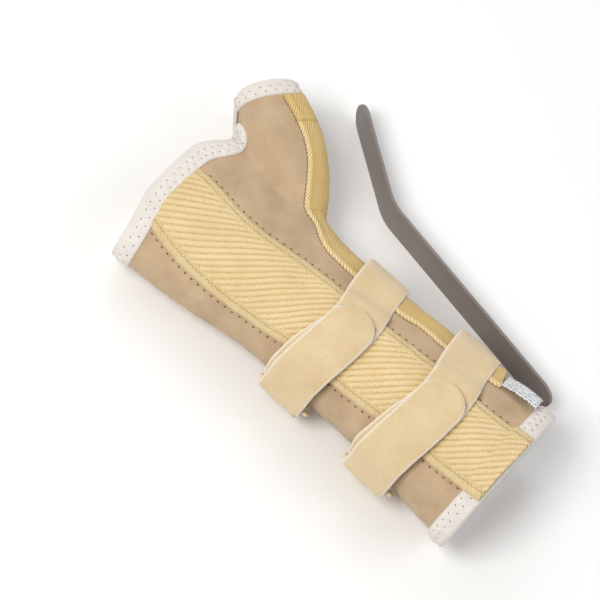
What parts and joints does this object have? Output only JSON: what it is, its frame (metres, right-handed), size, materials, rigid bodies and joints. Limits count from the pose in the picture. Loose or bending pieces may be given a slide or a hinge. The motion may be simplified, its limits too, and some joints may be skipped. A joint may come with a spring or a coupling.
{
  "type": "wrist splint",
  "caption": "Soft wrist splint with thumb sleeve, elastic palm panel, fold-back straps on loops and a bent flat stay that slides out of a pocket.",
  "frame": {"origin": "middle of the whole object's footprint, on the table under the back of the splint", "axes": "+X up the forearm, +Y towards the thumb, +Z out of the palm"},
  "size_m": [0.2251, 0.168, 0.0654],
  "materials": {
    "leatherette": "suede-like, fine grain",
    "lining": "brushed cloth",
    "elastic": "ribbed knit",
    "hem": "folded knit hem",
    "binding": "soft puffy binding",
    "webbing": "woven webbing",
    "strap": "brushed pile on foam",
    "hook": "hook tape",
    "label": "printed cloth",
    "loop": "cream moulded nylon",
    "stay": "dull, slightly oxidised"
  },
  "bodies": {
    "sleeve": {"dorsal_shell": "leatherette", "ulnar_shell": "leatherette", "thenar_shell": "leatherette", "palm_lining": "lining", "back_lining": "lining", "elastic_panel": "elastic", "ulnar_panel_hem": "hem", "radial_panel_hem": "hem", "hand_binding": "binding", "forearm_binding": "binding", "thumb_binding": "binding", "stay_pocket": "webbing", "thenar_pocket": "webbing", "pocket_end_patch": "webbing", "care_label": "label", "wrist_strap": "strap", "wrist_strap_anchor": "strap", "wrist_loop_keeper": "webbing", "forearm_strap": "strap", "forearm_strap_anchor": "strap", "forearm_loop_keeper": "webbing"},
    "wrist_loop_body": {"wrist_loop": "loop"},
    "wrist_tab_body": {"wrist_strap_tab": "strap", "wrist_strap_fold": "strap", "wrist_hook_patch": "hook"},
    "forearm_loop_body": {"forearm_loop": "loop"},
    "forearm_tab_body": {"forearm_strap_tab": "strap", "forearm_strap_fold": "strap", "forearm_hook_patch": "hook"},
    "stay_body": {"radial_stay": "stay"}
  },
  "joints": [
    {"name": "wrist_loop_swing", "type": "hinge", "parent": "sleeve", "child": "wrist_loop_body", "pos_m": [0.0077, -0.06891, 0.01058], "axis": [1, 0, 0], "range_deg": [0, 20], "deforming": ["wrist_strap_fold"]},
    {"name": "wrist_tab_peel", "type": "hinge", "parent": "wrist_loop_body", "child": "wrist_tab_body", "pos_m": [0.0077, -0.07416, 0.01968], "axis": [1, 0, 0], "range_deg": [0, 100], "deforming": ["wrist_strap_fold"]},
    {"name": "forearm_loop_swing", "type": "hinge", "parent": "sleeve", "child": "forearm_loop_body", "pos_m": [0.0637, -0.07227, 0.01306], "axis": [1, 0, 0], "range_deg": [0, 20], "deforming": ["forearm_strap_fold"]},
    {"name": "forearm_tab_peel", "type": "hinge", "parent": "forearm_loop_body", "child": "forearm_tab_body", "pos_m": [0.0637, -0.07752, 0.02216], "axis": [1, 0, 0], "range_deg": [0, 100], "deforming": ["forearm_strap_fold"]},
    {"name": "stay_slide", "type": "slide", "parent": "sleeve", "child": "stay_body", "axis": [-0.9848, 0.1736, 0], "range_m": [-0.11, 0]}
  ]
}
